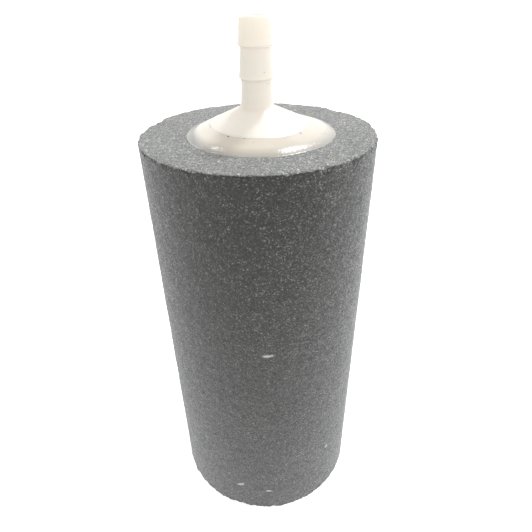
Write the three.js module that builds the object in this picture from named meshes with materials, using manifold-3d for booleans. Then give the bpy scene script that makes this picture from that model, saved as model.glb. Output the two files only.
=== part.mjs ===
// Cylindrical air stone for a pond or a large aquarium: a cup of bonded mineral grit whose open
// end is closed by a moulded hose fitting, bedded and sealed with two-part epoxy.
//
// Millimetres, +Z up. The origin is the centre of the stone's bottom face. Every piece is a solid
// of revolution about Z, except that the sealing bead spreads further to one side, as hand-laid
// adhesive does. Heights of the fitting and the adhesive are measured from the stone's top face.
import * as THREE from "three";
import { mergeVertices } from "three/addons/utils/BufferGeometryUtils.js";
import Module from "manifold-3d";

// Stone: a pressed cup with a blind core that feeds air to the whole wall.
const STONE_RADIUS = 25;
const STONE_HEIGHT = 102;
const STONE_EDGE_BREAK = 0.6;
const CORE_TOP_RADIUS = 11;
const CORE_BOTTOM_RADIUS = 10.2;
const CORE_FLOOR = 14;
const CORE_CORNER = 3;
const SEAT_RADIUS = 14.2;
const SEAT_DEPTH = 2.5;

// Fitting: the barbed stem.
const AIRWAY_RADIUS = 2.05;
const TIP_ABOVE_TOP = 21.8;
const TIP_FACE_RADIUS = 2.4;
const TIP_RADIUS = 3.12;
const TIP_ROUNDING_HEIGHT = 0.8;
const BARB_COUNT = 2;
const FIRST_CREST_ABOVE_TOP = 17;
const BARB_PITCH = 5.9;
const CREST_RADIUS = 3.58;
const CREST_LAND = 0.25;
const LIP_RADIUS = 3.34;
const LIP_HEIGHT = 0.9;
const SHOULDER_HEIGHT = 0.35;
const NECK_RADIUS = 3.1;
const NECK_FOOT_RADIUS = 3.25;
const NECK_FOOT_ABOVE_TOP = 6.6;

// Fitting: the conical flange and the skirt that hangs into the stone's core.
const CONE_TOP_RADIUS = 4.1;
const CONE_TOP_ABOVE_TOP = 4.96;
const CONE_FALL = 0.46;
const CONE_EDGE_RADIUS = 12;
const FLANGE_RADIUS = 13;
const FLANGE_EDGE_ROUNDING = 1;
const FLANGE_UNDERSIDE = -1.4;
const SHELL_THICKNESS = 1.9;
const SKIRT_RADIUS = 9.7;
const SKIRT_INNER_RADIUS = 8.2;
const SKIRT_BOTTOM = -7.5;
const SKIRT_LEAD_IN = 0.5;
const AIRWAY_FLARE = 0.6;

// Adhesive. The bead's outer edge is off centre, and its inner edge keeps to the cone.
const BEAD_RADIUS = 15.6;
const BEAD_OFFSET_X = 0.6;
const BEAD_OFFSET_Y = -0.5;
const BEAD_INNER_RADIUS = 10.8;
const BEAD_FEATHER = 0.4;
const BEAD_ROOT = -0.9;
const BEDDING_TOP = -1.1;
const ADHESIVE_GAP = 0.1;

const STONE_SEGMENTS = 72;
const HEAD_SEGMENTS = 60;
const CORNER_STEPS = 4;
const MENISCUS_STEPS = 6;
const WELD_TOLERANCE = 1e-4;

const STONE_GREY = 0x8f9090;
const FITTING_IVORY = 0xefe9dc;
const EPOXY_CREAM = 0xe0dacb;

const wasm = await Module();
wasm.setup();

// Points of a rounded corner, with both ends: it leaves start towards the corner and arrives at
// end from the corner. All three are [radius, height].
function roundedCorner(start, corner, end) {
  const [a, b, c] = [start, corner, end].map(([r, z]) => new THREE.Vector2(r, z));
  const curve = new THREE.QuadraticBezierCurve(a, b, c);
  return curve.getPoints(CORNER_STEPS).map(({ x, y }) => [x, y]);
}

// A solid of revolution about Z from a profile of [radius, height] points. The profile climbs on
// its outer side, so that the faces point out.
function revolve(profile, segments) {
  const points = profile.map(([r, z]) => new THREE.Vector2(r, z));
  return new THREE.LatheGeometry(points, segments).rotateX(Math.PI / 2);
}

// A BufferGeometry as a manifold-3d solid.
function toSolid(geometry) {
  const bare = new THREE.BufferGeometry();
  bare.setAttribute("position", geometry.getAttribute("position"));
  bare.setIndex(geometry.index);
  const merged = mergeVertices(bare, WELD_TOLERANCE);
  return new wasm.Manifold(
    new wasm.Mesh({
      numProp: 3,
      vertProperties: merged.attributes.position.array,
      triVerts: new Uint32Array(merged.index.array),
    }),
  );
}

// A manifold-3d solid as a BufferGeometry.
function toGeometry(solid) {
  const mesh = solid.getMesh();
  const geometry = new THREE.BufferGeometry();
  geometry.setAttribute("position", new THREE.BufferAttribute(mesh.vertProperties, 3));
  geometry.setIndex(new THREE.BufferAttribute(mesh.triVerts, 1));
  geometry.computeVertexNormals();
  return geometry;
}

function material(name, color, roughness) {
  return new THREE.MeshStandardMaterial({ name, color, roughness, metalness: 0 });
}

function namedMesh(name, geometry, look) {
  const mesh = new THREE.Mesh(geometry, look);
  mesh.name = name;
  return mesh;
}

// The cup of bonded grit: broken outer edges, a shallow seat for the flange, a drafted core.
function stoneGeometry() {
  const seatFloor = STONE_HEIGHT - SEAT_DEPTH;
  return revolve(
    [
      [0, 0],
      [STONE_RADIUS - STONE_EDGE_BREAK, 0],
      [STONE_RADIUS, STONE_EDGE_BREAK],
      [STONE_RADIUS, STONE_HEIGHT - STONE_EDGE_BREAK],
      [STONE_RADIUS - STONE_EDGE_BREAK, STONE_HEIGHT],
      [SEAT_RADIUS, STONE_HEIGHT],
      [SEAT_RADIUS, seatFloor],
      [CORE_TOP_RADIUS, seatFloor],
      ...roundedCorner(
        [CORE_BOTTOM_RADIUS, CORE_FLOOR + CORE_CORNER],
        [CORE_BOTTOM_RADIUS, CORE_FLOOR],
        [CORE_BOTTOM_RADIUS - CORE_CORNER, CORE_FLOOR],
      ),
      [0, CORE_FLOOR],
    ],
    STONE_SEGMENTS,
  );
}

// Height of the flange's cone above the stone's top at a radius.
function coneHeight(radius) {
  return CONE_TOP_ABOVE_TOP - (radius - CONE_TOP_RADIUS) * CONE_FALL;
}

// The outside of one barb: the shoulder that grips the hose, the crest's land and the lip above.
function barbOutline(crest) {
  return [
    [NECK_RADIUS, crest - CREST_LAND - SHOULDER_HEIGHT],
    [CREST_RADIUS, crest - CREST_LAND],
    [CREST_RADIUS, crest],
    [LIP_RADIUS, crest + LIP_HEIGHT],
  ];
}

// The outside of the flange and skirt, from the skirt's bottom edge up to the foot of the stem.
function flangeOutline() {
  return [
    [SKIRT_RADIUS - SKIRT_LEAD_IN, SKIRT_BOTTOM],
    [SKIRT_RADIUS, SKIRT_BOTTOM + 2 * SKIRT_LEAD_IN],
    [SKIRT_RADIUS, FLANGE_UNDERSIDE],
    [FLANGE_RADIUS, FLANGE_UNDERSIDE],
    ...roundedCorner(
      [FLANGE_RADIUS, coneHeight(FLANGE_RADIUS) - FLANGE_EDGE_ROUNDING],
      [FLANGE_RADIUS, coneHeight(FLANGE_RADIUS)],
      [CONE_EDGE_RADIUS, coneHeight(CONE_EDGE_RADIUS)],
    ),
    ...roundedCorner(
      [CONE_TOP_RADIUS, CONE_TOP_ABOVE_TOP],
      [NECK_FOOT_RADIUS, coneHeight(NECK_FOOT_RADIUS)],
      [NECK_FOOT_RADIUS, NECK_FOOT_ABOVE_TOP],
    ),
  ];
}

// The barbed stem from its lowest barb up to the face of its tip.
function stemOutline() {
  const barbs = [];
  for (let i = BARB_COUNT - 1; i >= 0; i--) {
    barbs.push(...barbOutline(FIRST_CREST_ABOVE_TOP - i * BARB_PITCH));
  }
  const tipCorner = roundedCorner(
    [TIP_RADIUS, TIP_ABOVE_TOP - TIP_ROUNDING_HEIGHT],
    [TIP_RADIUS, TIP_ABOVE_TOP],
    [TIP_FACE_RADIUS, TIP_ABOVE_TOP],
  );
  return [...barbs, ...tipCorner];
}

// The hose fitting in its own frame, whose Z = 0 is the stone's top face.
function fittingGeometry() {
  const roofAt = (radius) => coneHeight(radius) - SHELL_THICKNESS;
  const airwayFoot = roofAt(AIRWAY_RADIUS + AIRWAY_FLARE);
  const profile = [
    ...flangeOutline(),
    ...stemOutline(),
    [AIRWAY_RADIUS, TIP_ABOVE_TOP],
    [AIRWAY_RADIUS, airwayFoot + AIRWAY_FLARE],
    [AIRWAY_RADIUS + AIRWAY_FLARE, airwayFoot],
    [SKIRT_INNER_RADIUS, roofAt(SKIRT_INNER_RADIUS)],
    [SKIRT_INNER_RADIUS, SKIRT_BOTTOM],
  ];
  return revolve([...profile, profile[0]], HEAD_SEGMENTS);
}

// The room that the fitting takes from the adhesive, with the gap around it.
function fittingRoom() {
  const outline = flangeOutline().map(([r, z]) => [r + ADHESIVE_GAP, z]);
  const geometry = revolve(
    [[0, SKIRT_BOTTOM], ...outline, [0, NECK_FOOT_ABOVE_TOP]],
    HEAD_SEGMENTS,
  );
  const room = toSolid(geometry);
  const raised = room.translate([0, 0, ADHESIVE_GAP]);
  const lowered = room.translate([0, 0, -ADHESIVE_GAP]);
  return room.add(raised).add(lowered);
}

// Adhesive on the floor of the seat, under the flange and outside the skirt.
function beddingGeometry(room) {
  const floor = -SEAT_DEPTH;
  const wall = SEAT_RADIUS - ADHESIVE_GAP;
  const ring = revolve(
    [
      [CORE_TOP_RADIUS, floor],
      [wall, floor],
      [wall, BEDDING_TOP],
      [CORE_TOP_RADIUS, BEDDING_TOP],
      [CORE_TOP_RADIUS, floor],
    ],
    HEAD_SEGMENTS,
  );
  return toGeometry(toSolid(ring).subtract(room));
}

// How far out a radius lies across the bead's free width: 0 at the cone's edge, 1 where the bead
// meets the stone.
function beadShare(radius) {
  return (radius - CONE_EDGE_RADIUS) / (BEAD_RADIUS - CONE_EDGE_RADIUS);
}

// The bead's free surface from where it meets the stone up to the cone's edge. It leaves the cone
// at the cone's own slope and turns down a little more steeply towards its outer edge.
function meniscus() {
  const drop = coneHeight(BEAD_RADIUS) + BEAD_FEATHER;
  const points = [];
  for (let i = 1; i <= MENISCUS_STEPS; i++) {
    const inward = (i / MENISCUS_STEPS) * (BEAD_RADIUS - CONE_EDGE_RADIUS);
    const radius = BEAD_RADIUS - inward;
    points.push([radius, coneHeight(radius) + BEAD_FEATHER - drop * beadShare(radius) ** 3]);
  }
  return points;
}

// Moves the outer edge of a ring sideways, and each point inside it by less, down to nothing at
// the cone's edge.
function pushedOffCentre(geometry) {
  const position = geometry.getAttribute("position");
  for (let i = 0; i < position.count; i++) {
    const share = Math.max(0, beadShare(Math.hypot(position.getX(i), position.getY(i))));
    position.setX(i, position.getX(i) + BEAD_OFFSET_X * share);
    position.setY(i, position.getY(i) + BEAD_OFFSET_Y * share);
  }
  return geometry;
}

// The bead that rounds off the flange: its root fills the seat outside the rim, its outer edge
// laps the stone's top face, and its inner edge feathers out on the cone.
function beadGeometry(room) {
  const root = SEAT_RADIUS - ADHESIVE_GAP;
  const featherTop = coneHeight(BEAD_INNER_RADIUS) + BEAD_FEATHER;
  const lap = revolve(
    [
      [BEAD_INNER_RADIUS, 0],
      [BEAD_RADIUS, 0],
      ...meniscus(),
      [BEAD_INNER_RADIUS, featherTop],
      [BEAD_INNER_RADIUS, 0],
    ],
    HEAD_SEGMENTS,
  );
  const plug = revolve(
    [
      [BEAD_INNER_RADIUS, BEAD_ROOT],
      [root, BEAD_ROOT],
      [root, BEAD_FEATHER],
      [BEAD_INNER_RADIUS, BEAD_FEATHER],
      [BEAD_INNER_RADIUS, BEAD_ROOT],
    ],
    HEAD_SEGMENTS,
  );
  const ring = toSolid(pushedOffCentre(lap)).add(toSolid(plug));
  return toGeometry(ring.subtract(room));
}

const epoxy = material("epoxy", EPOXY_CREAM, 0.25);
const room = fittingRoom();

const stone = namedMesh("stone_body", stoneGeometry(), material("grit", STONE_GREY, 0.95));

const head = new THREE.Group();
head.position.z = STONE_HEIGHT;
head.add(
  namedMesh("hose_fitting", fittingGeometry(), material("ivory", FITTING_IVORY, 0.4)),
  namedMesh("bedding_adhesive", beddingGeometry(room), epoxy),
  namedMesh("sealing_bead", beadGeometry(room), epoxy),
);

const airStone = new THREE.Group();
airStone.name = "air_stone";
airStone.add(stone, head);

export default airStone;
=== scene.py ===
"""Looks of a tall air stone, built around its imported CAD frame.

A cup of sintered mineral grit is closed by a moulded hose fitting, which is set in and sealed with
cream two-part epoxy. Sizes in the classes are millimetres, as on a maker's drawing. Meshes are in
metres in the frame's own axes: +Z up, with the origin at the centre of the stone's bottom face.
"""

import logging
import math
from dataclasses import dataclass
from enum import Enum
from typing import Any

import bpy
import numpy as np
from mathutils import Matrix, Vector, noise


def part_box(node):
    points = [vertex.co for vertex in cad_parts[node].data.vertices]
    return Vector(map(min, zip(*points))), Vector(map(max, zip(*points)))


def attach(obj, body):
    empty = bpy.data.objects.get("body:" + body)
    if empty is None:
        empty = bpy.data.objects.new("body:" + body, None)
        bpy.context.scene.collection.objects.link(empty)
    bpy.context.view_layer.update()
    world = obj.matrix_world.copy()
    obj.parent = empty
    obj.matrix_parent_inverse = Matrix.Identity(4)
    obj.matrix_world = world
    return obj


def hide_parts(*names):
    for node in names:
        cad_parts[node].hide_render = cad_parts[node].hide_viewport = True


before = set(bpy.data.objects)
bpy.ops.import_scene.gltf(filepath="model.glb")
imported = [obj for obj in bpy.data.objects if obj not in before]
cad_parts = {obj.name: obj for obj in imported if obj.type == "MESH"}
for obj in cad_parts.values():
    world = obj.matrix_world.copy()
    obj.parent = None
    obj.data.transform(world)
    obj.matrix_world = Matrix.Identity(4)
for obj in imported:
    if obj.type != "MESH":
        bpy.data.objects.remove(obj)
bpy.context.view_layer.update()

logging.basicConfig(level=logging.INFO, format="%(message)s")
log = logging.getLogger("air_stone")

MM = 0.001
BODY = "root"


class CadNode(Enum):
    """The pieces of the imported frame."""

    STONE = "stone_body"
    FITTING = "hose_fitting"
    BEDDING = "bedding_adhesive"
    BEAD = "sealing_bead"


class Slot(Enum):
    """The record's material slots."""

    GRIT = "bonded_grit"
    PLASTIC = "moulded_plastic"
    EPOXY = "epoxy"


class Facets(Enum):
    """How a mesh's faces catch the light."""

    SHARP = False
    SMOOTH = True


# Shader and mesh helpers


def linear(hex_colour: str) -> tuple[float, float, float, float]:
    """Turns an sRGB hex colour into linear RGBA.

    Args:
        hex_colour: A colour such as "#8f9090".

    Returns:
        Red, green, blue and an alpha of 1.
    """
    channels = [int(hex_colour[i : i + 2], 16) / 255 for i in (1, 3, 5)]
    curve = [c / 12.92 if c <= 0.04045 else ((c + 0.055) / 1.055) ** 2.4 for c in channels]
    return (curve[0], curve[1], curve[2], 1.0)


def add_node(
    tree: bpy.types.NodeTree,
    kind: str,
    settings: dict[str, Any] | None = None,
    inputs: dict[str | int, Any] | None = None,
    stops: list[tuple[float, str]] | None = None,
) -> bpy.types.Node:
    """Adds a shader node with its settings and links.

    Args:
        tree: The node tree that takes the node.
        kind: The node's Blender type name.
        settings: Properties to set on the node.
        inputs: A value or an output socket for each named or numbered input.
        stops: Places and hex colours of a colour ramp.

    Returns:
        The new node.
    """
    node = tree.nodes.new(kind)
    for name, value in (settings or {}).items():
        setattr(node, name, value)
    for name, value in (inputs or {}).items():
        if isinstance(value, bpy.types.NodeSocket):
            tree.links.new(value, node.inputs[name])
        else:
            node.inputs[name].default_value = value
    if stops:
        elements = node.color_ramp.elements
        while len(elements) < len(stops):
            elements.new(1.0)
        for element, (place, colour) in zip(elements, stops):
            element.position = place
            element.color = linear(colour)
    return node


def new_material(name: str) -> tuple[bpy.types.Material, bpy.types.NodeTree]:
    """Makes an empty node material.

    Args:
        name: The finish's plain name.

    Returns:
        The material and its node tree.
    """
    material = bpy.data.materials.new(name)
    material.use_nodes = True
    material.node_tree.nodes.clear()
    return material, material.node_tree


def per_metre(size_mm: float) -> float:
    """Returns a texture scale that gives a pattern of this size in millimetres."""
    return 1.0 / (size_mm * MM)


def mesh_piece(
    name: str, points: np.ndarray, faces: list[tuple[int, ...]], facets: Facets
) -> bpy.types.Object:
    """Makes a mesh object.

    Args:
        name: The piece's name.
        points: One row of x, y and z in millimetres for each vertex.
        faces: Vertex numbers of each face.
        facets: Whether the faces are shaded sharp or smooth.

    Returns:
        The object, linked to the scene.
    """
    mesh = bpy.data.meshes.new(name)
    mesh.from_pydata((points * MM).tolist(), [], faces)
    mesh.validate()
    mesh.polygons.foreach_set("use_smooth", [facets.value] * len(mesh.polygons))
    mesh.update()
    piece = bpy.data.objects.new(name, mesh)
    bpy.context.scene.collection.objects.link(piece)
    return piece


def paint_weight(piece: bpy.types.Object, name: str, values: np.ndarray) -> None:
    """Stores one number for each vertex, for a material to read.

    Args:
        piece: The mesh object.
        name: The attribute's name.
        values: A number for each vertex.
    """
    attribute = piece.data.attributes.new(name, "FLOAT", "POINT")
    attribute.data.foreach_set("value", values.astype(np.float32))


def hand_over(
    piece: bpy.types.Object,
    material: bpy.types.Material,
    stands_for: CadNode | None = None,
) -> None:
    """Dresses a piece and puts it on the part's body.

    Args:
        piece: The finished mesh object.
        material: Its finish.
        stands_for: The CAD node that it replaces, if any.
    """
    piece.data.materials.append(material)
    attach(piece, BODY)
    if stands_for:
        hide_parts(stands_for.value)
    log.info("%s: %d faces", piece.name, len(piece.data.polygons))


def around(count: int, start: float = 0.0) -> np.ndarray:
    """Returns evenly spaced angles round a full turn, in radians."""
    return start + np.arange(count) * (2 * math.pi / count)


def ring(
    angles: np.ndarray, radius: float | np.ndarray, height: float | np.ndarray
) -> np.ndarray:
    """Places a ring of points round the axis.

    Args:
        angles: Directions from the axis, in radians.
        radius: One distance from the axis, or one for each angle.
        height: One height, or one for each angle.

    Returns:
        One row of x, y and z for each angle.
    """
    level = height + np.zeros(len(angles))
    return np.stack([radius * np.cos(angles), radius * np.sin(angles), level], 1)


def ripple(angles: np.ndarray, radius: float, wavelength: float, seed: float) -> np.ndarray:
    """Smooth random waves round a circle, which join up where it closes.

    Args:
        angles: Where to read the waves, in radians.
        radius: The circle's radius in millimetres.
        wavelength: The waves' typical length in millimetres.
        seed: Picks one pattern.

    Returns:
        A value from about -1 to 1 for each angle.
    """
    reach = radius / wavelength
    return np.array(
        [noise.noise(Vector((math.cos(a) * reach, math.sin(a) * reach, seed))) for a in angles]
    )


def swell(points: np.ndarray, wavelength: float, seed: float) -> np.ndarray:
    """Smooth random values in space.

    Args:
        points: Points in millimetres.
        wavelength: Typical size of a swelling in millimetres.
        seed: Picks one pattern.

    Returns:
        A value from about -1 to 1 for each point.
    """
    shift = Vector((seed, seed * 1.7, -seed))
    return np.array([noise.noise(Vector(p) / wavelength + shift) for p in points])


def sampled(line: list[tuple[float, float]], spacing: float) -> list[tuple[float, float]]:
    """Adds points along an outline so that none are further apart than a spacing.

    Args:
        line: Corners as (radius, height), in millimetres.
        spacing: The widest gap allowed.

    Returns:
        The outline with the added points.
    """
    points = [line[0]]
    for start, end in zip(line, line[1:]):
        steps = max(1, math.ceil(math.dist(start, end) / spacing))
        for i in range(1, steps + 1):
            t = i / steps
            points.append((start[0] + (end[0] - start[0]) * t, start[1] + (end[1] - start[1]) * t))
    return points


def rounded(
    start: tuple[float, float],
    corner: tuple[float, float],
    end: tuple[float, float],
    steps: int = 8,
) -> list[tuple[float, float]]:
    """A rounded corner of an outline, from start towards the corner and on to end.

    Args:
        start: The first point, as (radius, height).
        corner: The sharp corner that is rounded off.
        end: The last point.
        steps: How many pieces the curve is drawn in.

    Returns:
        The curve's points with both ends.
    """
    points = []
    for i in range(steps + 1):
        t = i / steps
        weights = ((1 - t) ** 2, 2 * t * (1 - t), t**2)
        points.append(
            (
                sum(w * p[0] for w, p in zip(weights, (start, corner, end))),
                sum(w * p[1] for w, p in zip(weights, (start, corner, end))),
            )
        )
    return points


def ring_faces(rings: int, count: int, closed: bool) -> list[tuple[int, ...]]:
    """Four-sided faces between rings of points.

    Args:
        rings: How many rings there are.
        count: Points in each ring.
        closed: Whether the last ring joins the first.

    Returns:
        The faces, turned outward for rings that climb on the outside.
    """
    faces = []
    for i in range(rings if closed else rings - 1):
        low = i * count
        high = ((i + 1) % rings) * count
        for j in range(count):
            k = (j + 1) % count
            faces.append((low + j, low + k, high + k, high + j))
    return faces


# Finishes


@dataclass(frozen=True)
class SinteredGrit:
    """Crushed mineral grit pressed and fired into one porous block.

    Every grain is its own shade and its own little mirror at its own tilt, with pores between that
    are painted darker as shade, so the eye sees a fine speckled grey with a few bright sparks. Loose
    dust on the grains makes the stone paler where the eye grazes it.
    """

    grain_mm: float = 0.22
    cluster_mm: float = 0.5
    clump_mm: float = 1.1
    patch_mm: float = 9.0
    clump_pull: float = 0.24
    clump_middle: float = 0.13
    tilt: float = 0.3
    relief_mm: float = 0.05
    dusty_edge: float = 0.52
    dust_tint: str = "#eef2f6"
    flake_colour: str = "#c9c8c4"
    # The side's shades are dark partly as painted shade; the ground top's shades are light partly as
    # painted light.
    shaded_skin_shades: tuple[tuple[float, str], ...] = (
        (0.0, "#1c1b1a"),
        (0.5, "#252423"),
        (0.78, "#32312f"),
        (0.9, "#4b4c4c"),
        (1.0, "#707375"),
    )
    lit_cut_shades: tuple[tuple[float, str], ...] = (
        (0.0, "#464746"),
        (0.4, "#656766"),
        (0.82, "#7e807f"),
        (0.93, "#a4a399"),
        (1.0, "#d6d1bf"),
    )

    def material(self) -> bpy.types.Material:
        """Builds the finish.

        Returns:
            The material.
        """
        material, tree = new_material("sintered_grit")
        place = add_node(tree, "ShaderNodeTexCoord").outputs["Object"]
        grain, cluster = (
            add_node(
                tree,
                "ShaderNodeTexVoronoi",
                {"feature": "F1"},
                {"Vector": place, "Scale": per_metre(size)},
            )
            for size in (self.grain_mm, self.cluster_mm)
        )
        clump, patch = (
            add_node(
                tree,
                "ShaderNodeTexNoise",
                None,
                {"Vector": place, "Scale": per_metre(size), "Detail": detail},
            )
            for size, detail in ((self.clump_mm, 2.0), (self.patch_mm, 3.0))
        )
        pick = add_node(tree, "ShaderNodeSeparateColor", None, {"Color": grain.outputs["Color"]})
        colour = self._colour(tree, [grain, cluster], [clump, patch], pick)
        spark = add_node(
            tree,
            "ShaderNodeMapRange",
            None,
            {
                "Value": pick.outputs["Green"],
                "From Min": 0.84,
                "From Max": 0.9,
                "To Min": 0.85,
                "To Max": 0.3,
            },
        )
        shader = add_node(
            tree,
            "ShaderNodeBsdfPrincipled",
            None,
            {
                "Base Color": colour,
                "Roughness": spark.outputs["Result"],
                "IOR": 1.55,
                "Specular IOR Level": 0.35,
                "Sheen Weight": self.dusty_edge,
                "Sheen Roughness": 0.55,
                "Sheen Tint": linear(self.dust_tint),
                "Normal": self._normal(tree, grain, cluster),
            },
        )
        add_node(tree, "ShaderNodeOutputMaterial", None, {"Surface": shader.outputs["BSDF"]})
        return material

    def _colour(
        self,
        tree: bpy.types.NodeTree,
        cells: list[bpy.types.Node],
        clouds: list[bpy.types.Node],
        pick: bpy.types.Node,
    ) -> bpy.types.NodeSocket:
        """Shades each grain, darkens the pores as painted shade, and pales the cut face, partly as
        painted light, and the flakes.

        Args:
            tree: The material's node tree.
            cells: The grain cells and the clusters of grains.
            clouds: The clumps of grains and the broad mottling.
            pick: The random numbers of each grain.

        Returns:
            The colour output.
        """
        clumped = add_node(
            tree,
            "ShaderNodeMath",
            {"operation": "MULTIPLY_ADD"},
            {0: clouds[0].outputs["Fac"], 1: self.clump_pull, 2: pick.outputs["Red"]},
        )
        rank = add_node(
            tree,
            "ShaderNodeMath",
            {"operation": "SUBTRACT"},
            {0: clumped.outputs["Value"], 1: self.clump_middle},
        ).outputs["Value"]
        skin, cut = (
            add_node(tree, "ShaderNodeValToRGB", None, {"Fac": rank}, list(shades))
            for shades in (self.shaded_skin_shades, self.lit_cut_shades)
        )
        # The top face takes the lighter ramp: partly paler ground grit, partly painted light.
        ground = self._lit_ground_top(tree, pick)
        shade = add_node(
            tree,
            "ShaderNodeMix",
            {"data_type": "RGBA"},
            {
                "Factor": ground,
                "A": skin.outputs["Color"],
                "B": cut.outputs["Color"],
            },
        )
        # What varies, its lowest and highest value, and the brightness at each. The two cell rows are
        # painted shade in the pores; the cloud rows are the grit's own mottled tone.
        tone_and_pore_shade_factors = [
            (cells[0].outputs["Distance"], 0.35, 0.85, 1.08, 0.72),
            (cells[1].outputs["Distance"], 0.25, 0.8, 1.07, 0.84),
            (clouds[0].outputs["Fac"], 0.3, 0.7, 0.86, 1.14),
            (clouds[1].outputs["Fac"], 0.3, 0.7, 0.88, 1.12),
        ]
        level = 1.0
        for value, low, high, at_low, at_high in tone_and_pore_shade_factors:
            factor = add_node(
                tree,
                "ShaderNodeMapRange",
                None,
                {
                    "Value": value,
                    "From Min": low,
                    "From Max": high,
                    "To Min": at_low,
                    "To Max": at_high,
                },
            ).outputs["Result"]
            level = add_node(
                tree, "ShaderNodeMath", {"operation": "MULTIPLY"}, {0: level, 1: factor}
            ).outputs["Value"]
        lit = add_node(
            tree,
            "ShaderNodeVectorMath",
            {"operation": "SCALE"},
            {"Vector": shade.outputs["Result"], "Scale": level},
        )
        flake = add_node(tree, "ShaderNodeAttribute", {"attribute_name": "flake"})
        return add_node(
            tree,
            "ShaderNodeMix",
            {"data_type": "RGBA"},
            {
                "Factor": flake.outputs["Fac"],
                "A": lit.outputs["Vector"],
                "B": linear(self.flake_colour),
            },
        ).outputs["Result"]

    def _lit_ground_top(self, tree: bpy.types.NodeTree, pick: bpy.types.Node) -> bpy.types.NodeSocket:
        """Tells the ground top, which is painted lighter partly as painted light, from the pressed
        side, with a crisp edge that keeps to the grains.

        Args:
            tree: The material's node tree.
            pick: The random numbers of each grain.

        Returns:
            An output that is 1 on the ground face and 0 on the side.
        """
        cut = add_node(tree, "ShaderNodeAttribute", {"attribute_name": "cut_and_lit_top"})
        ragged = add_node(
            tree,
            "ShaderNodeMath",
            {"operation": "MULTIPLY_ADD"},
            {0: pick.outputs["Blue"], 1: 0.08, 2: cut.outputs["Fac"]},
        )
        return add_node(
            tree,
            "ShaderNodeMapRange",
            None,
            {"Value": ragged.outputs["Value"], "From Min": 0.5, "From Max": 0.58},
        ).outputs["Result"]

    def _normal(
        self, tree: bpy.types.NodeTree, grain: bpy.types.Node, cluster: bpy.types.Node
    ) -> bpy.types.NodeSocket:
        """Tilts each grain its own way and raises it above its pores.

        Args:
            tree: The material's node tree.
            grain: The grain cells.
            cluster: The clusters of grains.

        Returns:
            The normal output.
        """
        lean = add_node(
            tree,
            "ShaderNodeVectorMath",
            {"operation": "SUBTRACT"},
            {0: grain.outputs["Color"], 1: (0.5, 0.5, 0.5)},
        )
        lean = add_node(
            tree,
            "ShaderNodeVectorMath",
            {"operation": "SCALE"},
            {"Vector": lean.outputs["Vector"], "Scale": self.tilt},
        )
        surface = add_node(tree, "ShaderNodeNewGeometry")
        tilted = add_node(
            tree,
            "ShaderNodeVectorMath",
            {"operation": "ADD"},
            {0: surface.outputs["Normal"], 1: lean.outputs["Vector"]},
        )
        tilted = add_node(
            tree,
            "ShaderNodeVectorMath",
            {"operation": "NORMALIZE"},
            {0: tilted.outputs["Vector"]},
        )
        height = add_node(
            tree,
            "ShaderNodeMath",
            {"operation": "MULTIPLY_ADD"},
            {0: cluster.outputs["Distance"], 1: 0.4, 2: grain.outputs["Distance"]},
        )
        bump = add_node(
            tree,
            "ShaderNodeBump",
            {"invert": True},
            {
                "Strength": 0.8,
                "Distance": self.relief_mm * MM,
                "Height": height.outputs["Value"],
                "Normal": tilted.outputs["Vector"],
            },
        )
        return bump.outputs["Normal"]


@dataclass(frozen=True)
class MouldedNylon:
    """Natural ivory nylon, injection moulded.

    The plastic lets a little light in, so its edges glow, and the mould's spark-eroded steel
    leaves a satin skin with faint flow clouds. The real skin's pits are about 0.05 mm; they are
    drawn coarser so that they show.
    """

    colour: str = "#f8f1ea"
    cloud_colour: str = "#f3ebe0"
    cloud_mm: float = 5.0
    skin_mm: float = 0.25

    def material(self) -> bpy.types.Material:
        """Builds the finish.

        Returns:
            The material.
        """
        material, tree = new_material("moulded_nylon")
        place = add_node(tree, "ShaderNodeTexCoord").outputs["Object"]
        clouds = add_node(
            tree,
            "ShaderNodeTexNoise",
            None,
            {"Vector": place, "Scale": per_metre(self.cloud_mm), "Detail": 2.0},
        )
        skin = add_node(
            tree,
            "ShaderNodeTexNoise",
            None,
            {"Vector": place, "Scale": per_metre(self.skin_mm), "Detail": 3.0},
        )
        colour = add_node(
            tree,
            "ShaderNodeMix",
            {"data_type": "RGBA"},
            {
                "Factor": clouds.outputs["Fac"],
                "A": linear(self.colour),
                "B": linear(self.cloud_colour),
            },
        )
        gloss = add_node(
            tree,
            "ShaderNodeMapRange",
            None,
            {"Value": clouds.outputs["Fac"], "To Min": 0.32, "To Max": 0.48},
        )
        bump = add_node(
            tree,
            "ShaderNodeBump",
            None,
            {"Strength": 0.25, "Distance": 0.02 * MM, "Height": skin.outputs["Fac"]},
        )
        shader = add_node(
            tree,
            "ShaderNodeBsdfPrincipled",
            None,
            {
                "Base Color": colour.outputs["Result"],
                "Roughness": gloss.outputs["Result"],
                "IOR": 1.53,
                "Subsurface Weight": 1.0,
                "Subsurface Radius": (1.0, 0.9, 0.75),
                "Subsurface Scale": 1.5 * MM,
                "Normal": bump.outputs["Normal"],
            },
        )
        add_node(tree, "ShaderNodeOutputMaterial", None, {"Surface": shader.outputs["BSDF"]})
        return material


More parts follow.
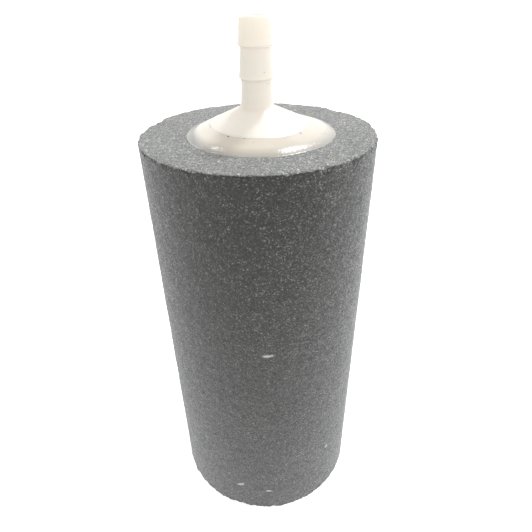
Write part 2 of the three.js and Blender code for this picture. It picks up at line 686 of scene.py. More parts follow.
@dataclass(frozen=True)
class LaidEpoxy:
    """Cream two-part epoxy, laid by hand and set with a wet gloss.

    It is milky where it is thick. Its thin outer edge lets the grey grit show through, and takes
    a fine grain from it, a little coarser than the grit because the epoxy bridges the pores. Its
    right side is greyed the same way as painted shade.
    """

    colour: str = "#dbd3c6"
    thin_and_shade_colour: str = "#898a87"
    wave_mm: float = 3.0
    grit_mm: float = 0.36

    def material(self) -> bpy.types.Material:
        """Builds the finish.

        Returns:
            The material.
        """
        material, tree = new_material("laid_epoxy")
        place = add_node(tree, "ShaderNodeTexCoord").outputs["Object"]
        edge = add_node(tree, "ShaderNodeAttribute", {"attribute_name": "thin_edge_and_shade"})
        wave = add_node(
            tree,
            "ShaderNodeTexNoise",
            None,
            {"Vector": place, "Scale": per_metre(self.wave_mm), "Detail": 1.0},
        )
        grit = add_node(
            tree,
            "ShaderNodeTexVoronoi",
            {"feature": "SMOOTH_F1"},
            {"Vector": place, "Scale": per_metre(self.grit_mm)},
        )
        print_through = add_node(
            tree,
            "ShaderNodeMath",
            {"operation": "MULTIPLY"},
            {0: edge.outputs["Fac"], 1: grit.outputs["Distance"]},
        )
        colour = add_node(
            tree,
            "ShaderNodeMix",
            {"data_type": "RGBA"},
            {
                "Factor": edge.outputs["Fac"],
                "A": linear(self.colour),
                "B": linear(self.thin_and_shade_colour),
            },
        )
        gloss = add_node(
            tree,
            "ShaderNodeMapRange",
            None,
            {"Value": edge.outputs["Fac"], "To Min": 0.13, "To Max": 0.36},
        )
        waves = add_node(
            tree,
            "ShaderNodeBump",
            None,
            {"Strength": 0.2, "Distance": 0.15 * MM, "Height": wave.outputs["Fac"]},
        )
        grains = add_node(
            tree,
            "ShaderNodeBump",
            None,
            {
                "Strength": 0.8,
                "Distance": 0.1 * MM,
                "Height": print_through.outputs["Value"],
                "Normal": waves.outputs["Normal"],
            },
        )
        shader = add_node(
            tree,
            "ShaderNodeBsdfPrincipled",
            None,
            {
                "Base Color": colour.outputs["Result"],
                "Roughness": gloss.outputs["Result"],
                "IOR": 1.54,
                "Coat Weight": 0.3,
                "Coat Roughness": 0.06,
                "Normal": grains.outputs["Normal"],
            },
        )
        add_node(tree, "ShaderNodeOutputMaterial", None, {"Surface": shader.outputs["BSDF"]})
        return material


@dataclass(frozen=True)
class StudioPaper:
    """Matt white background paper, which glows a little as overexposed paper does."""

    colour: str = "#f4f4f4"
    glow: float = 0.72

    def material(self) -> bpy.types.Material:
        """Builds the finish.

        Returns:
            The material.
        """
        material, tree = new_material("studio_paper")
        shader = add_node(
            tree,
            "ShaderNodeBsdfPrincipled",
            None,
            {
                "Base Color": linear(self.colour),
                "Roughness": 1.0,
                "Specular IOR Level": 0.0,
                "Emission Color": (1.0, 1.0, 1.0, 1.0),
                "Emission Strength": self.glow,
            },
        )
        add_node(tree, "ShaderNodeOutputMaterial", None, {"Surface": shader.outputs["BSDF"]})
        return material


# Pieces


@dataclass(frozen=True)
class Chip:
    """A nick in the stone's rim: where it is, how deep and how wide."""

    turn_deg: float
    depth: float
    width: float


@dataclass(frozen=True)
class Flake:
    """A pale sliver of mineral in the stone's side."""

    turn_deg: float
    height: float
    length: float
    width: float
    lean_deg: float


@dataclass
class StoneCup:
    """The porous cup of grit: cut top face, pressed side, blind core.

    The skin is a net of small triangles about a grain apart, and every point stands in or out by
    a random part of a grain, so the outline is gritty too.
    """

    radius: float
    height: float
    count: int = 312
    spacing: float = 0.52
    base_spacing: float = 0.8
    hidden_spacing: float = 6.0
    seat_radius: float = 14.2
    seat_depth: float = 2.5
    core_top_radius: float = 11.0
    core_bottom_radius: float = 10.2
    core_floor: float = 14.0
    edge_break: float = 0.42
    edge_reach: float = 2.6
    crumble: float = 0.5
    crumble_length: float = 7.0
    nibble: float = 0.55
    nibble_length: float = 1.6
    least_wear: float = 0.08
    most_wear: float = 1.5
    grain_relief: float = 0.022
    most_relief: float = 0.13
    side_swell: float = 0.05
    side_swell_length: float = 9.0
    lump: float = 0.05
    lump_length: float = 2.4
    rim: float = 0.9
    turn_jitter: float = 0.28
    slide_jitter: float = 0.25
    seed: int = 11
    chips: tuple[Chip, ...] = (
        Chip(161.5, 1.5, 0.45),
        Chip(155.0, 0.45, 1.5),
        Chip(147.0, -0.25, 1.0),
        Chip(38.0, 0.6, 1.0),
        Chip(-20.0, 0.7, 0.9),
        Chip(-47.0, 0.5, 0.7),
        Chip(-62.0, 0.8, 1.1),
        Chip(-78.0, 0.8, 0.7),
        Chip(-88.0, 0.6, 0.5),
        Chip(-96.0, 0.9, 0.8),
        Chip(-107.0, 0.7, 0.5),
        Chip(-118.0, 0.8, 1.2),
        Chip(-139.0, 0.8, 0.8),
        Chip(95.0, 0.6, 1.4),
        Chip(230.0, 0.45, 1.1),
    )
    flakes: tuple[Flake, ...] = (
        Flake(-88.0, 60.6, 2.5, 0.45, 3.0),
        Flake(-107.0, 10.3, 2.3, 0.6, 28.0),
        Flake(-48.0, 18.9, 1.5, 0.6, 80.0),
        Flake(-89.0, 8.3, 1.6, 0.45, 12.0),
        Flake(20.0, 71.0, 1.8, 0.4, -15.0),
        Flake(120.0, 35.0, 2.0, 0.45, 8.0),
        Flake(200.0, 82.0, 1.4, 0.4, 60.0),
    )

    def build(self, finish: SinteredGrit) -> bpy.types.Object:
        """Builds and dresses the stone.

        Args:
            finish: The grit's finish.

        Returns:
            The stone.
        """
        stations = self._stations()
        points, shown = self._points(stations)
        faces = self._faces(len(stations), len(points))
        points = np.vstack([points, [[0.0, 0.0, 0.0], [0.0, 0.0, self.core_floor]]])
        piece = mesh_piece("grit_cup", points, faces, Facets.SMOOTH)
        piece.data.set_sharp_from_angle(angle=math.radians(35))
        self._paint(piece, points, shown)
        hand_over(piece, finish.material(), CadNode.STONE)
        return piece

    def _near(self, gap: float) -> float:
        """Returns how much an edge's wear moves a ring this far from it, from 0 to 1."""
        return max(0.0, 1.0 - gap / self.edge_reach)

    def _stations(self) -> list[tuple[float, ...]]:
        """Lists the rings of the outline, from the middle of the base round to the core's floor.

        Returns:
            A (radius, height, top cut inward, top cut down, base cut inward, base cut up, shown)
            for each ring. The cuts say how far the worn edges pull that ring.
        """
        wide, tall = self.radius, self.height
        base = sampled([(self.base_spacing, 0.0), (wide, 0.0)], self.base_spacing)
        side = sampled([(wide, 0.0), (wide, tall)], self.spacing)
        top = sampled([(wide, tall), (self.seat_radius, tall)], self.spacing)
        arc = [math.radians(a) for a in (30.0, 60.0)]
        near = self._near
        rows = [(r, 0.0, 0.0, 0.0, near(wide - r), 0.0, 1.0) for r, _ in base]
        rows += [(wide, 0.0, 0.0, 0.0, 1 - math.sin(a), 1 - math.cos(a), 1.0) for a in arc]
        rows += [(wide, z, 0.0, near(tall - z), 0.0, near(z), 1.0) for _, z in side]
        rows += [(wide, tall, 1 - math.cos(a), 1 - math.sin(a), 0.0, 0.0, 1.0) for a in arc]
        rows += [(r, tall, near(wide - r), 0.0, 0.0, 0.0, 1.0) for r, _ in top]
        floor = tall - self.seat_depth
        hidden = sampled(
            [
                (self.seat_radius, tall - 0.6),
                (self.seat_radius, floor),
                (self.core_top_radius, floor),
                (self.core_bottom_radius, self.core_floor + 3.0),
                (self.core_bottom_radius - 1.0, self.core_floor + 0.8),
                (self.core_bottom_radius - 3.0, self.core_floor),
                (self.base_spacing, self.core_floor),
            ],
            self.hidden_spacing,
        )
        return rows + [(r, z, 0.0, 0.0, 0.0, 0.0, 0.0) for r, z in hidden]

    def _wear(self, angles: np.ndarray, seed: float) -> np.ndarray:
        """Works out how far an edge has crumbled.

        Args:
            angles: Directions from the axis, in radians.
            seed: Picks one edge's pattern.

        Returns:
            How far the edge is worn back at each angle, in millimetres.
        """
        broad = ripple(angles, self.radius, self.crumble_length, seed)
        fine = ripple(angles, self.radius, self.nibble_length, seed + 5.0)
        wear = self.edge_break + self.crumble * broad + self.nibble * fine
        return np.clip(wear, self.least_wear, self.most_wear)

    def _chipped(self, angles: np.ndarray) -> np.ndarray:
        """Works out how far the top edge is worn back, with its chips.

        Args:
            angles: Directions from the axis, in radians.

        Returns:
            The wear at each angle, in millimetres.
        """
        wear = self._wear(angles, 3.0)
        for chip in self.chips:
            turn = np.angle(np.exp(1j * (angles - math.radians(chip.turn_deg))))
            wear += chip.depth * np.exp(-((turn * self.radius / chip.width) ** 2))
        return wear

    def _points(self, stations: list[tuple[float, ...]]) -> tuple[np.ndarray, np.ndarray]:
        """Places every vertex.

        Args:
            stations: The outline's rings.

        Returns:
            The points in millimetres, and how much each one shows, from 0 to 1.
        """
        rng = np.random.default_rng(self.seed)
        step = 2 * math.pi / self.count
        places = []
        shown = []
        for i, (r, z, top_in, top_down, base_in, base_up, visible) in enumerate(stations):
            angles = around(self.count, 0.5 * step * (i % 2))
            angles += rng.uniform(-self.turn_jitter, self.turn_jitter, self.count) * step
            top = self._chipped(angles) if top_in or top_down else 0.0
            base = self._wear(angles, 21.0) if base_in or base_up else 0.0
            radius = r - top_in * top - base_in * base + np.zeros(self.count)
            level = z - top_down * top + base_up * base + np.zeros(self.count)
            slide = rng.uniform(-self.slide_jitter, self.slide_jitter, self.count)
            slide = slide * self.spacing * visible
            if 0.0 < z < self.height:
                level = level + slide
            else:
                radius = radius + slide
            places.append(ring(angles, radius, level))
            shown.append(np.full(self.count, visible))
        points = np.vstack(places)
        visible = np.concatenate(shown)
        return points + self._relief(points, visible, rng), visible

    def _relief(
        self, points: np.ndarray, visible: np.ndarray, rng: np.random.Generator
    ) -> np.ndarray:
        """Works out how far each point stands out of the smooth shape.

        Args:
            points: The smooth shape's points.
            visible: How much each one shows.
            rng: The stone's random numbers.

        Returns:
            A move for each point, in millimetres.
        """
        away = points * [1.0, 1.0, 0.0]
        length = np.maximum(np.linalg.norm(away, axis=1, keepdims=True), 1e-6)
        out = away / length
        flat = np.array([0.0, 0.0, 1.0])
        edge = np.clip((length[:, 0] - self.radius + 1.2) / 1.0, 0.0, 1.0)
        on_top = points[:, 2] > self.height / 2
        cap = np.where(on_top[:, None], flat, -flat)
        inner = (points[:, 2] < self.height - self.rim) & (points[:, 2] > self.rim)
        turned = out * edge[:, None] + cap * (1 - edge[:, None] * 0.5)
        normal = np.where(inner[:, None], out, turned)
        normal /= np.maximum(np.linalg.norm(normal, axis=1, keepdims=True), 1e-6)
        grain = rng.normal(0.0, self.grain_relief, len(points))
        grain = np.clip(grain, -self.most_relief, self.most_relief)
        broad = swell(points, self.side_swell_length, 4.0) * self.side_swell
        broad += swell(points, self.lump_length, 9.0) * self.lump
        return normal * ((grain + broad) * visible)[:, None]

    def _faces(self, rings: int, pole: int) -> list[tuple[int, ...]]:
        """Joins the rings with triangles and closes both ends on a point.

        Args:
            rings: How many rings there are.
            pole: The number of the base's middle point; the core's floor point is the next.

        Returns:
            The faces, pointing out.
        """
        count = self.count
        faces = [(pole, (j + 1) % count, j) for j in range(count)]
        for i in range(rings - 1):
            low, high, odd = i * count, (i + 1) * count, i % 2
            for j in range(count):
                k = (j + 1) % count
                if odd:
                    faces.append((low + j, high + k, high + j))
                    faces.append((low + j, low + k, high + k))
                else:
                    faces.append((low + j, low + k, high + j))
                    faces.append((low + k, high + k, high + j))
        last = (rings - 1) * count
        faces += [(pole + 1, last + j, last + (j + 1) % count) for j in range(count)]
        return faces

    def _paint(self, piece: bpy.types.Object, points: np.ndarray, shown: np.ndarray) -> None:
        """Marks the cut top face, which the finish paints lighter partly as painted light, and the
        pale flakes for the finish.

        Args:
            piece: The stone.
            points: Its points in millimetres.
            shown: How much each one shows, without the two poles.
        """
        reach = np.hypot(points[:, 0], points[:, 1])
        past_corner = (self.radius - reach) - (self.height - points[:, 2])
        paint_weight(piece, "cut_and_lit_top", np.clip(0.5 + past_corner / 2, 0.0, 1.0))
        turn = np.arctan2(points[:, 1], points[:, 0])
        pale = np.zeros(len(points))
        outside = (reach > self.radius - 1.0) & np.append(shown > 0, [False, False])
        for flake in self.flakes:
            across = np.angle(np.exp(1j * (turn - math.radians(flake.turn_deg)))) * self.radius
            up = points[:, 2] - flake.height
            lean = math.radians(flake.lean_deg)
            along = across * math.cos(lean) + up * math.sin(lean)
            side = up * math.cos(lean) - across * math.sin(lean)
            inside = 1.35 - (2 * along / flake.length) ** 2 - (2 * side / flake.width) ** 2
            pale = np.maximum(pale, np.clip(inside, 0.0, 1.0) * outside)
        paint_weight(piece, "flake", pale)


@dataclass
class HoseFitting:
    """The moulded fitting: barbed stem, conical flange and the hidden skirt and airway.

    Heights are above the stone's top face.
    """

    top: float
    tip: float
    count: int = 144
    airway: float = 2.05
    tip_face: float = 2.45
    tip_radius: float = 3.12
    tip_round: float = 0.8
    crests: tuple[float, ...] = (11.1, 17.0)
    crest_radius: float = 3.58
    lip_radius: float = 3.36
    neck_radius: float = 3.1
    neck_foot_radius: float = 3.25
    neck_foot: float = 6.6
    cone_radius: float = 4.1
    cone_top: float = 4.96
    cone_fall: float = 0.46
    cone_edge: float = 11.3
    flange_radius: float = 12.3
    skirt_radius: float = 9.7
    skirt_inner: float = 8.2
    skirt_bottom: float = -7.5
    wall: float = 1.9
    parting_line: float = 0.045

    def cone(self, radius: float | np.ndarray) -> float | np.ndarray:
        """Returns the cone's height above the stone at a radius."""
        return self.cone_top - (radius - self.cone_radius) * self.cone_fall

    def build(self, finish: MouldedNylon) -> bpy.types.Object:
        """Builds and dresses the fitting.

        Args:
            finish: The plastic's finish.

        Returns:
            The fitting.
        """
        outline = self._outside() + self._inside()
        angles = around(self.count)
        rings = [ring(angles, r + self._parting(angles, r, z), self.top + z) for r, z in outline]
        faces = ring_faces(len(outline), self.count, closed=True)
        piece = mesh_piece("barbed_fitting", np.vstack(rings), faces, Facets.SMOOTH)
        piece.data.set_sharp_from_angle(angle=math.radians(50))
        hand_over(piece, finish.material(), CadNode.FITTING)
        return piece

    def _parting(self, angles: np.ndarray, r: float, z: float) -> np.ndarray:
        """Raises the fine line where the mould's halves met, on two sides of the stem.

        Args:
            angles: Directions from the axis, in radians.
            r: The outline's distance from the axis.
            z: The outline's height above the stone.

        Returns:
            How far the line stands out at each angle, in millimetres.
        """
        outside = r > self.tip_face + 0.1 and z > self.cone_top + 0.2 and r < self.cone_radius
        width = math.radians(2.2)
        line = np.exp(-((np.sin(angles) / width) ** 2))
        return line * self.parting_line * outside

    def _outside(self) -> list[tuple[float, float]]:
        """Draws the outline from the skirt's bottom edge up to the tip's face.

        Returns:
            The outline's points as (radius, height).
        """
        edge = self.flange_radius
        line = [
            (self.skirt_radius - 0.5, self.skirt_bottom),
            (self.skirt_radius, self.skirt_bottom + 1.0),
            (self.skirt_radius, -1.4),
            (edge, -1.4),
        ]
        line += rounded(
            (edge, self.cone(edge) - 1.0),
            (edge, self.cone(edge)),
            (self.cone_edge, self.cone(self.cone_edge)),
        )
        line += sampled(
            [
                (self.cone_edge - 0.5, self.cone(self.cone_edge - 0.5)),
                (self.cone_radius + 0.3, self.cone(self.cone_radius + 0.3)),
            ],
            1.0,
        )
        line += rounded(
            (self.cone_radius, self.cone_top),
            (self.neck_foot_radius, self.cone(self.neck_foot_radius)),
            (self.neck_foot_radius, self.neck_foot),
        )
        for crest in self.crests:
            line += self._barb(crest)
        line += rounded(
            (self.tip_radius, self.tip - self.tip_round),
            (self.tip_radius, self.tip),
            (self.tip_face, self.tip),
        )
        return line

    def _barb(self, crest: float) -> list[tuple[float, float]]:
        """Draws one barb: neck, undercut shoulder, rounded crest and the lip above it.

        Args:
            crest: The crest's height above the stone.

        Returns:
            The barb's points as (radius, height).
        """
        neck, out = self.neck_radius, self.crest_radius
        line = [(neck, crest - 1.2)]
        line += rounded((neck, crest - 0.68), (neck, crest - 0.58), (neck + 0.1, crest - 0.53), 3)
        line += rounded((out - 0.1, crest - 0.32), (out, crest - 0.28), (out, crest - 0.16), 4)
        line += rounded((out, crest - 0.06), (out, crest), (out - 0.06, crest + 0.16), 3)
        line += [(self.lip_radius, crest + 0.95)]
        return line

    def _roof(self, radius: float) -> float:
        """Returns the height of the cone's underside at a radius."""
        return self.cone(radius) - self.wall

    def _inside(self) -> list[tuple[float, float]]:
        """Draws the outline from the airway's mouth down to the skirt's bottom edge.

        Returns:
            The outline's points as (radius, height).
        """
        foot = self._roof(self.airway + 0.6)
        line = rounded(
            (self.airway + 0.18, self.tip), (self.airway, self.tip), (self.airway, self.tip - 0.18), 3
        )
        line += [
            (self.airway, foot + 0.6),
            (self.airway + 0.6, foot),
            (self.skirt_inner, self._roof(self.skirt_inner)),
            (self.skirt_inner, self.skirt_bottom),
        ]
        return line


@dataclass(frozen=True)
class Ring:
    """A nearly round edge of the epoxy.

    It has a radius, a centre that lies to one side, and a broad and a fine wander.
    """

    radius: float
    x: float
    y: float
    broad: float
    fine: float
    seed: float

    def reach(self, angles: np.ndarray) -> np.ndarray:
        """Works out how far the edge lies from the stone's axis.

        Args:
            angles: Directions from the axis, in radians.

        Returns:
            The distance at each angle, in millimetres.
        """
        wander = self.broad * ripple(angles, self.radius, 8.0, self.seed)
        wander += self.fine * ripple(angles, self.radius, 2.4, self.seed + 3)
        return self.radius + self.x * np.cos(angles) + self.y * np.sin(angles) + wander


@dataclass
class SealingBead:
    """The hand-laid epoxy: a milky body over the flange's edge, and the thin skirt it bled out.

    Heights are above the stone's top face.
    """

    top: float
    fitting: HoseFitting
    count: int = 288
    inner: Ring = Ring(10.7, 0.4, -0.45, 0.35, 0.12, 13.0)
    body: Ring = Ring(15.45, 0.75, -0.6, 0.12, 0.05, 2.0)
    skirt: Ring = Ring(15.6, 0.65, -0.55, 0.2, 0.12, 7.0)
    fall: float = 0.85
    film: float = 0.03
    skirt_height: float = 0.09
    edge_height: float = 0.03
    bled_towards: float = math.radians(-178.0)
    body_thinness: float = 0.48
    left_thinness: float = 0.95
    right_painted_shade: float = 0.36
    skirt_left_thinness: float = 0.3
    skirt_edge_thinness: float = 0.2
    root: float = -0.9
    root_radius: float = 14.1
    sink: float = -0.16
    seed: float = 19.0

    def build(self, finish: LaidEpoxy) -> bpy.types.Object:
        """Builds and dresses the bead.

        Args:
            finish: The epoxy's finish.

        Returns:
            The bead.
        """
        angles = around(self.count)
        rows = self._rows(angles)
        rings = [ring(angles, r, self.top + z) for r, z, _ in rows]
        thin = [np.clip(weight, 0.0, 1.0) for _, _, weight in rows]
        faces = ring_faces(len(rows), self.count, closed=True)
        piece = mesh_piece("epoxy_bead", np.vstack(rings), faces, Facets.SMOOTH)
        piece.data.set_sharp_from_angle(angle=math.radians(70))
        paint_weight(piece, "thin_edge_and_shade", np.concatenate(thin))
        hand_over(piece, finish.material(), CadNode.BEAD)
        return piece

    def height(self, angles: np.ndarray, radius: np.ndarray) -> np.ndarray:
        """Works out the epoxy's surface.

        Args:
            angles: Directions from the axis, in radians.
            radius: A distance from the axis for each, in millimetres.

        Returns:
            The surface's height above the stone at each point.
        """
        inner, body, edge = self._edges(angles)
        start = self.fitting.cone(inner) + self.film
        across = np.clip((radius - inner) / (body - inner), 0.0, 1.0)
        front = np.maximum(0.0, -np.sin(angles))
        left = np.maximum(0.0, -np.cos(angles))
        fall = self.fall - 0.15 * front + 0.1 * left
        shoulder = 1 - fall * across - (1 - fall) * across**5
        lift = 0.05 * ripple(angles, 12.0, 6.0, self.seed) * across * (1 - across) * 4
        milky = self.skirt_height + (start - self.skirt_height) * shoulder + lift
        out = np.clip((radius - body) / (edge - body), 0.0, 1.0)
        thin = self.skirt_height + (self.edge_height - self.skirt_height) * out
        on_cone = radius < self.fitting.cone_edge
        cover = np.where(on_cone, self.fitting.cone(radius) + self.film, -1.0)
        return np.maximum(np.where(radius < body, milky, thin), cover)

    def _edges(self, angles: np.ndarray) -> tuple[np.ndarray, np.ndarray, np.ndarray]:
        """Works out where the bead's parts end.

        Args:
            angles: Directions from the axis, in radians.

        Returns:
            How far the body's inner edge, its outer edge and the skirt's edge reach.
        """
        edge = self.skirt.reach(angles)
        body = np.minimum(self.body.reach(angles), edge - 0.12)
        return self.inner.reach(angles), body, edge

    def _bled(self, angles: np.ndarray) -> np.ndarray:
        """Returns how much each direction faces the side that the epoxy bled to, from 0 to 1."""
        return np.maximum(0.0, np.cos(angles - self.bled_towards)) ** 4

    def _thinness(self, angles: np.ndarray, across: float) -> np.ndarray:
        """Works out how thin the milky body is, with its right side greyed as painted shade.

        Args:
            angles: Directions from the axis, in radians.
            across: How far out in the body, from 0 at the cone to 1 at the skirt.

        Returns:
            The thinness, with the right side's painted shade, at each angle: 0 hides the grit and 1
            shows it.
        """
        outer = self.body_thinness * max(0.0, across - 0.55) / 0.45
        # The right side is greyed as painted shade, not as thinner epoxy.
        right = self.right_painted_shade * np.maximum(0.0, np.cos(angles)) * across
        left = self.left_thinness * self._bled(angles) * min(1.0, max(0.0, across - 0.45) / 0.35)
        return outer + right + left

    def _rows(self, angles: np.ndarray) -> list[tuple[np.ndarray, np.ndarray, np.ndarray]]:
        """Lists the section's rings, from its root up the outside and back under.

        Args:
            angles: Directions of each ring's points.

        Returns:
            Each ring's radii, heights and thinness.
        """
        inner, body, edge = self._edges(angles)
        flat = np.zeros(self.count)
        fitting = self.fitting
        hidden_radius = flat + fitting.flange_radius + 0.03
        skirt = self.body_thinness + self.skirt_left_thinness * self._bled(angles)
        rows = [
            (flat + self.root_radius, flat + self.root, flat),
            (flat + self.root_radius, flat + self.sink, flat),
            (edge + 0.02, flat + self.sink, flat + 1),
        ]
        for out in np.linspace(1.0, 0.0, 9)[:-1]:
            radius = body + out * (edge - body)
            thinness = skirt + self.skirt_edge_thinness * out
            rows.append((radius, self.height(angles, radius), thinness))
        for step in np.linspace(0.0, 1.0, 27):
            across = 1 - step**1.5
            radius = inner + across * (body - inner)
            rows.append((radius, self.height(angles, radius), self._thinness(angles, across)))
        rows += [
            (inner - 0.5, fitting.cone(inner - 0.5) - self.film, flat),
            (flat + fitting.cone_edge - 0.1, flat + fitting.cone(fitting.cone_edge) - 0.1, flat),
            (hidden_radius, flat + fitting.cone(fitting.flange_radius) - 1.0, flat),
            (hidden_radius, flat + self.root, flat),
        ]
        return rows


@dataclass
class StrayGrains:
    """Single grains of grit that stuck to the epoxy and the stem while they were handled."""

    top: float
    bead: SealingBead
    seed: int = 5
    on_dome: tuple[tuple[float, float, float], ...] = (
        (-122.0, 10.9, 0.33),
        (-104.0, 11.0, 0.22),
        (-42.0, 11.3, 0.28),
        (-63.0, 11.7, 0.12),
        (-94.0, 12.2, 0.12),
        (-25.0, 14.2, 0.13),
        (-21.0, 14.6, 0.13),
        (75.0, 12.4, 0.2),
        (140.0, 12.9, 0.16),
        (30.0, 12.2, 0.12),
    )
    on_stem: tuple[tuple[float, float, float, float], ...] = (
        (-63.0, 3.4, 12.2, 0.13),
        (-43.0, 3.1, 10.0, 0.14),
        (110.0, 3.15, 9.2, 0.12),
    )

    def build(self, finish: SinteredGrit) -> bpy.types.Object:
        """Builds and dresses the grains as one piece.

        Args:
            finish: The grit's finish.

        Returns:
            The grains.
        """
        rng = np.random.default_rng(self.seed)
        points = []
        faces = []
        spots = [(a, r, self._dome(math.radians(a), r), s) for a, r, s in self.on_dome]
        spots += self.on_stem
        for turn_deg, r, z, size in spots:
            turn = math.radians(turn_deg)
            centre = np.array([r * math.cos(turn), r * math.sin(turn), self.top + z])
            grain, sides = self._grain(rng, size)
            faces += [tuple(v + len(points) for v in face) for face in sides]
            points += list(grain + centre)
        piece = mesh_piece("stray_grains", np.array(points), faces, Facets.SHARP)
        hand_over(piece, finish.material())
        return piece

    def _dome(self, angle: float, radius: float) -> float:
        """Returns the height above the stone of whatever shows at an angle and a radius."""
        return float(self.bead.height(np.array([angle]), np.array([radius]))[0])

    def _grain(
        self, rng: np.random.Generator, size: float
    ) -> tuple[np.ndarray, list[tuple[int, ...]]]:
        """Makes one crushed grain: a lumpy many-sided pebble.

        Args:
            rng: The grains' random numbers.
            size: Its rough width in millimetres.

        Returns:
            Its points about its middle, and its faces.
        """
        rows, sides = 4, 7
        points = [np.array([0.0, 0.0, -size / 2])]
        for i in range(1, rows):
            level = -math.cos(math.pi * i / rows)
            for a in around(sides, 0.4 * i):
                reach = math.sqrt(1 - level**2)
                point = np.array([reach * math.cos(a), reach * math.sin(a), level])
                points.append(point * size / 2 * rng.uniform(0.7, 1.25))
        points.append(np.array([0.0, 0.0, size / 2]))
        faces = [(0, 1 + (j + 1) % sides, 1 + j) for j in range(sides)]
        for i in range(rows - 2):
            low, high = 1 + i * sides, 1 + (i + 1) * sides
            for j in range(sides):
                k = (j + 1) % sides
                faces.append((low + j, low + k, high + k, high + j))
        last, tip = 1 + (rows - 2) * sides, len(points) - 1
        faces += [(last + j, last + (j + 1) % sides, tip) for j in range(sides)]
        return np.array(points), faces


@dataclass
class Bedding:
    """The epoxy under the flange, which stays as the frame's own solid."""

    def dress(self, finish: LaidEpoxy) -> None:
        """Gives the CAD node the epoxy's finish.

        Args:
            finish: The epoxy's finish.
        """
        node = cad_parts[CadNode.BEDDING.value]
        node.data.materials.clear()
        node.data.materials.append(finish.material())
        log.info("%s: kept, with a new finish", node.name)


# Studio


@dataclass(frozen=True)
class Softbox:
    """A soft light: where it is, how big, how strong and its tint. Metres and watts."""

    name: str
    place: tuple[float, float, float]
    width: float
    height: float
    power: float
    colour: str = "#ffffff"


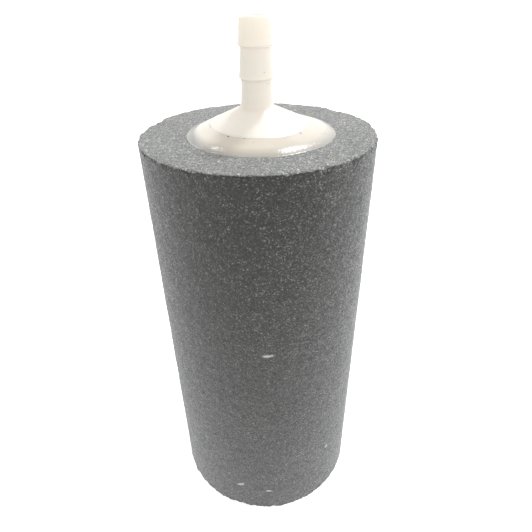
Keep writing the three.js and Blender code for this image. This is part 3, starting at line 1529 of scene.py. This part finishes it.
@dataclass
class Studio:
    """White paper floor with a curved back, softboxes behind on both sides and one in front.

    The camera's and the paper's sizes are millimetres, and the lights' are metres.
    """

    stone_height: float
    stand_off: float = 95.57
    rise: float = 28.42
    pitch_deg: float = 33.307
    yaw_deg: float = 0.674
    roll_deg: float = 1.167
    lens: float = 30.32
    sensor: float = 36.0
    floor_count: int = 96
    aim_share: float = 0.7
    bounce_radius: float = 0.16
    bounce_power: float = 0.08
    bounce_shift: float = 0.08
    floor_glow: float = 1.34
    ceiling_glow: float = 0.5
    room_aim: tuple[float, float, float] = (-0.37, 0.0, 1.0)
    room_tint: str = "#fffdf9"
    window_glow: float = 0.72
    window_focus: float = 4.0
    window_aim: tuple[float, float, float] = (0.7, -0.1, 0.71)
    softboxes: tuple[Softbox, ...] = (
        Softbox("right_box", (0.32, 0.53, 0.96), 0.145, 0.07, 5.4, "#f8faff"),
        Softbox("left_box", (-0.42, 0.56, 0.88), 0.14, 0.055, 0.52, "#f8faff"),
        Softbox("left_fill", (-0.52, -0.57, 0.85), 0.45, 0.45, 1.4, "#fffdf8"),
    )

    def build(self) -> None:
        """Sets up floor, lights, surroundings and camera."""
        self._floor()
        for box in self.softboxes:
            self._light(box)
        self._bounce()
        self._surroundings()
        self._camera()
        bpy.context.scene.view_settings.view_transform = "Standard"

    def _floor(self) -> None:
        """Builds the paper: a flat disc that curves up into a wall far from the object."""
        flat, bend, wall = 1900.0, 700.0, 1500.0
        outline = sampled([(40.0, 0.0), (flat, 0.0)], 120.0)
        outline += rounded((flat, 0.0), (flat + bend, 0.0), (flat + bend, bend), 16)[1:]
        outline += [(flat + bend, bend + wall)]
        count = self.floor_count
        rings = [ring(around(count), r, z) for r, z in outline]
        points = np.vstack(rings + [np.zeros((1, 3))])
        faces = ring_faces(len(outline), count, closed=False)
        faces += [(len(points) - 1, (j + 1) % count, j) for j in range(count)]
        faces = [face[::-1] for face in faces]
        paper = mesh_piece("paper_floor", points, faces, Facets.SMOOTH)
        paper.data.materials.append(StudioPaper().material())
        paper.visible_diffuse = False

    def _area_light(
        self, name: str, shape: str, power: float, place: tuple[float, float, float]
    ) -> bpy.types.Object:
        """Adds an area light that the camera doesn't see.

        Args:
            name: The light's name.
            shape: The kind of area, as Blender names it.
            power: Its power in watts.
            place: Where it is, in metres.

        Returns:
            The light.
        """
        data = bpy.data.lights.new(name, "AREA")
        data.shape = shape
        data.energy = power
        light = bpy.data.objects.new(name, data)
        bpy.context.scene.collection.objects.link(light)
        light.location = place
        light.visible_camera = False
        return light

    def _light(self, box: Softbox) -> None:
        """Hangs one softbox and aims it at the upper part of the stone.

        Args:
            box: The light's place, size, power and colour.
        """
        light = self._area_light(box.name, "RECTANGLE", box.power, box.place)
        light.data.size = box.width
        light.data.size_y = box.height
        light.data.color = linear(box.colour)[:3]
        aim = Vector((0.0, 0.0, self.stone_height * MM * self.aim_share)) - Vector(box.place)
        light.rotation_euler = aim.to_track_quat("-Z", "Y").to_euler()

    def _bounce(self) -> None:
        """Lays a disc of upward light round the stone's foot, as bright paper sends back."""
        place = (self.bounce_shift, 0.0, 0.2 * MM)
        light = self._area_light("paper_bounce", "DISK", self.bounce_power, place)
        light.data.size = 2 * self.bounce_radius
        light.rotation_euler = (math.pi, 0.0, 0.0)

    def _surroundings(self) -> None:
        """Fills the room with light, brighter from the floor and from a patch high on the right."""
        world = bpy.data.worlds.new("room")
        world.use_nodes = True
        tree = world.node_tree
        tree.nodes.clear()
        aim = add_node(tree, "ShaderNodeTexCoord").outputs["Generated"]
        rise = add_node(
            tree,
            "ShaderNodeVectorMath",
            {"operation": "DOT_PRODUCT"},
            {0: aim, 1: self.room_aim},
        )
        room = add_node(
            tree,
            "ShaderNodeMapRange",
            None,
            {
                "Value": rise.outputs["Value"],
                "From Min": -1.0,
                "From Max": 1.0,
                "To Min": self.floor_glow,
                "To Max": self.ceiling_glow,
            },
        )
        level = add_node(
            tree,
            "ShaderNodeVectorMath",
            {"operation": "DOT_PRODUCT"},
            {0: aim, 1: self.window_aim},
        ).outputs["Value"]
        for operation, value in (
            ("MAXIMUM", 0.0),
            ("POWER", self.window_focus),
            ("MULTIPLY", self.window_glow),
            ("ADD", room.outputs["Result"]),
        ):
            level = add_node(
                tree, "ShaderNodeMath", {"operation": operation}, {0: level, 1: value}
            ).outputs["Value"]
        back = add_node(
            tree,
            "ShaderNodeBackground",
            None,
            {"Color": linear(self.room_tint), "Strength": level},
        )
        add_node(tree, "ShaderNodeOutputWorld", None, {"Surface": back.outputs["Background"]})
        bpy.context.scene.world = world

    def _camera(self) -> None:
        """Places the camera close above and in front, looking down at the stone."""
        pitch, yaw, roll = (math.radians(a) for a in (self.pitch_deg, self.yaw_deg, self.roll_deg))
        ahead = Vector(
            (
                math.sin(yaw) * math.cos(pitch),
                math.cos(yaw) * math.cos(pitch),
                -math.sin(pitch),
            )
        )
        level = Vector((math.cos(yaw), -math.sin(yaw), 0.0))
        down = ahead.cross(level)
        right = level * math.cos(roll) + down * math.sin(roll)
        below = down * math.cos(roll) - level * math.sin(roll)
        data = bpy.data.cameras.new("camera")
        data.sensor_width = self.sensor
        data.lens = self.lens
        data.clip_start = 0.01
        camera = bpy.data.objects.new("camera", data)
        bpy.context.scene.collection.objects.link(camera)
        turn = Matrix((right, -below, -ahead)).transposed().to_4x4()
        place = Vector((0.0, -self.stand_off, self.stone_height + self.rise)) * MM
        camera.matrix_world = Matrix.Translation(place) @ turn
        bpy.context.scene.camera = camera


def main() -> None:
    """Builds the studio and the pieces in order."""
    low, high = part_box(CadNode.STONE.value)
    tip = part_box(CadNode.FITTING.value)[1].z / MM
    radius = (high.x - low.x) / 2 / MM
    height = high.z / MM
    Studio(height).build()
    StoneCup(radius, height).build(SinteredGrit())
    fitting = HoseFitting(height, tip - height)
    fitting.build(MouldedNylon())
    bead = SealingBead(height, fitting)
    bead.build(LaidEpoxy())
    StrayGrains(height, bead).build(SinteredGrit(tilt=0.4))
    Bedding().dress(LaidEpoxy())


if __name__ == "__main__":
    main()
